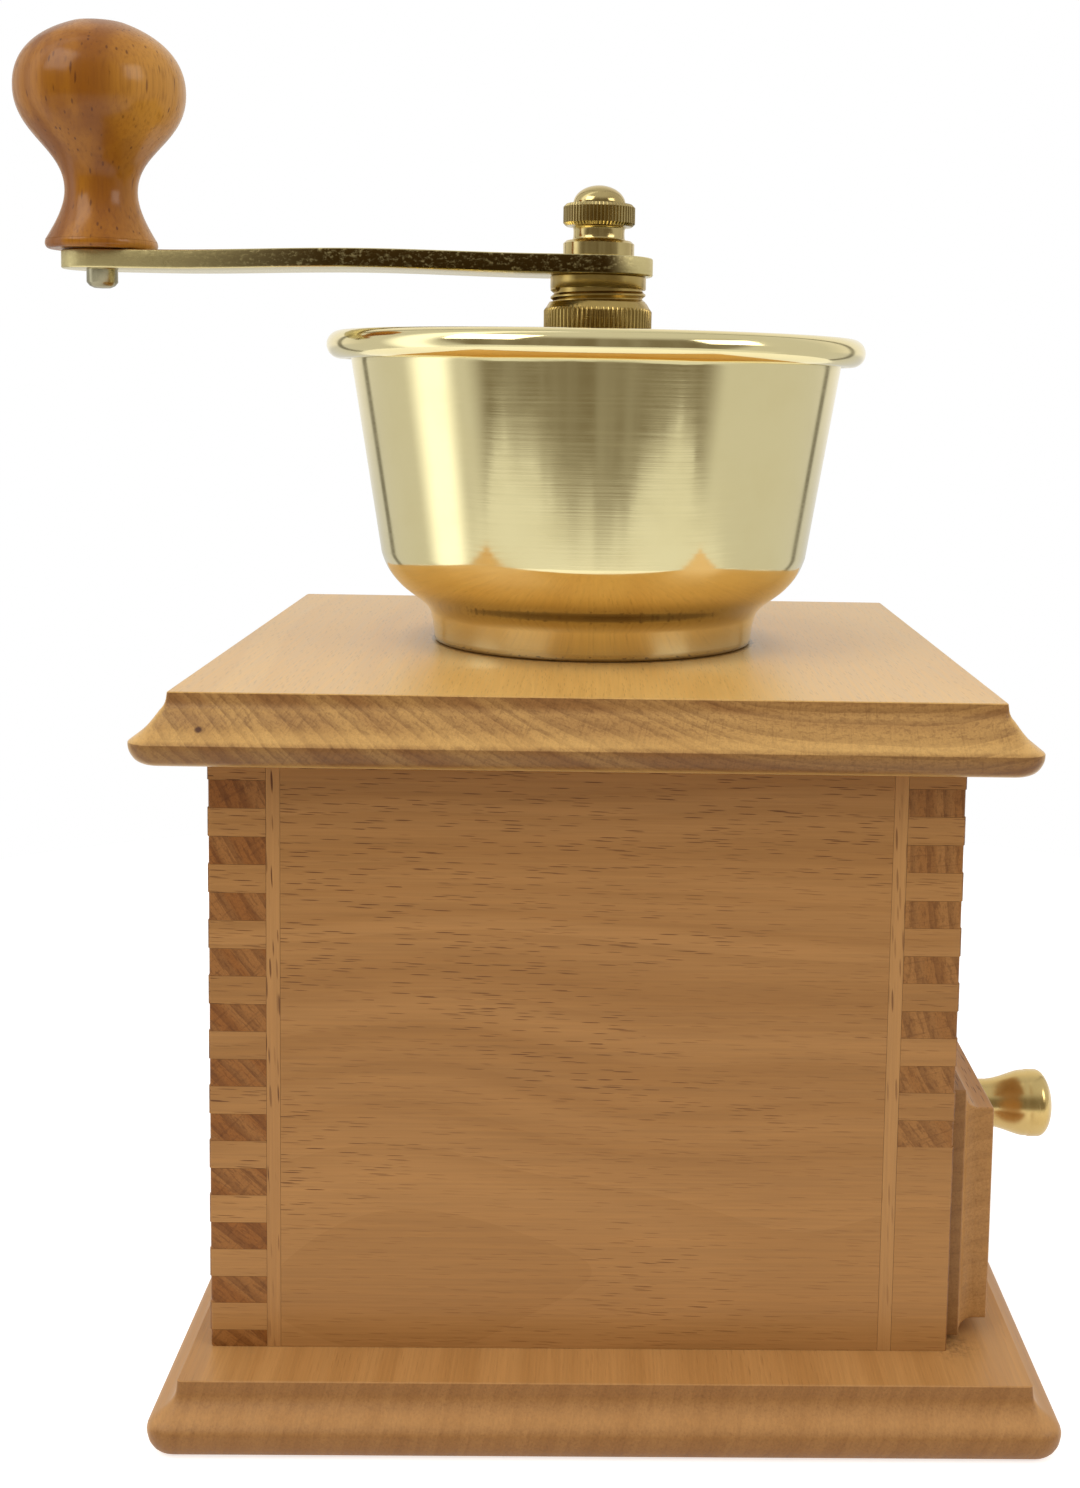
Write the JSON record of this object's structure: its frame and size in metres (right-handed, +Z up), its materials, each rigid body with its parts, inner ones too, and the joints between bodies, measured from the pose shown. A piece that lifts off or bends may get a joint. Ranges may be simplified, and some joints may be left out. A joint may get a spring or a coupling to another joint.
{
  "type": "hand coffee mill",
  "caption": "Box coffee mill: finger-jointed beech case with a drawer, open brass hopper, crank and an adjustable conical burr.",
  "frame": {"origin": "on the surface that the base stands on, under the spindle's axis", "axes": "+Z up along the spindle, +X the way the drawer opens, and the crank rests towards -X"},
  "size_m": [0.1752, 0.1314, 0.2041],
  "materials": {
    "beech": "satin varnish",
    "inlay_beech": "satin varnish",
    "varnished_beech": "gloss varnish",
    "polished_brass": "polished",
    "turned_brass": "turned and knurled",
    "plated_arm": "brass plate, sheared edges",
    "steel": "bright zinc",
    "burr_steel": "machined",
    "cast_iron": "as cast"
  },
  "bodies": {
    "case": {"base_board": "beech", "top_board": "beech", "case_side_near": "beech", "case_side_far": "beech", "case_back": "beech", "case_front": "beech", "inlay_strip_near_back": "inlay_beech", "inlay_strip_near_front": "inlay_beech", "inlay_strip_far_back": "inlay_beech", "inlay_strip_far_front": "inlay_beech", "base_screw_1": "steel", "base_screw_2": "steel", "base_screw_3": "steel", "base_screw_4": "steel", "hopper_bowl": "polished_brass", "yoke": "steel", "yoke_bush": "turned_brass", "hopper_screw_1": "steel", "hopper_screw_2": "steel", "hopper_screw_3": "steel", "hopper_screw_4": "steel", "housing_screw_1": "steel", "housing_screw_2": "steel", "housing_screw_3": "steel", "housing_screw_4": "steel", "burr_housing": "cast_iron", "outer_burr": "burr_steel", "ring_screw": "steel", "lower_bridge": "cast_iron", "bridge_screw_1": "steel", "bridge_screw_2": "steel", "pressure_spring": "steel"},
    "washer": {"thrust_washer": "steel"},
    "adjuster": {"adjusting_nut": "turned_brass"},
    "crank": {"spindle": "steel", "adjusting_sleeve": "turned_brass", "crank_arm": "plated_arm", "cap_nut": "turned_brass", "inner_burr": "burr_steel", "burr_pin": "steel", "grip_screw": "steel"},
    "grip": {"grip": "varnished_beech"},
    "drawer": {"drawer_bottom": "beech", "drawer_side_near": "beech", "drawer_side_far": "beech", "drawer_back": "beech", "drawer_front": "beech", "drawer_knob": "polished_brass", "drawer_knob_screw": "steel"}
  },
  "joints": [
    {"name": "crank_spin", "type": "hinge", "parent": "case", "child": "washer", "pos_m": [0, 0, 0.155], "axis": [0, 0, 1], "continuous": true},
    {"name": "grind_adjust", "type": "hinge", "parent": "washer", "child": "adjuster", "pos_m": [0, 0, 0.158], "axis": [0, 0, 1], "range_deg": [-138.46, 138.46]},
    {"name": "burr_lift", "type": "slide", "parent": "washer", "child": "crank", "axis": [0, 0, 1], "range_m": [-0.0005, 0.0005], "deforming": ["pressure_spring"]},
    {"name": "grip_spin", "type": "hinge", "parent": "crank", "child": "grip", "pos_m": [-0.0812, 0, 0.168], "axis": [0, 0, 1], "continuous": true},
    {"name": "drawer_slide", "type": "slide", "parent": "case", "child": "drawer", "axis": [1, 0, 0], "range_m": [0, 0.08]}
  ],
  "couplings": [
    {"joint": "grind_adjust", "follows": "burr_lift", "rad_per_m": -4833.2}
  ]
}
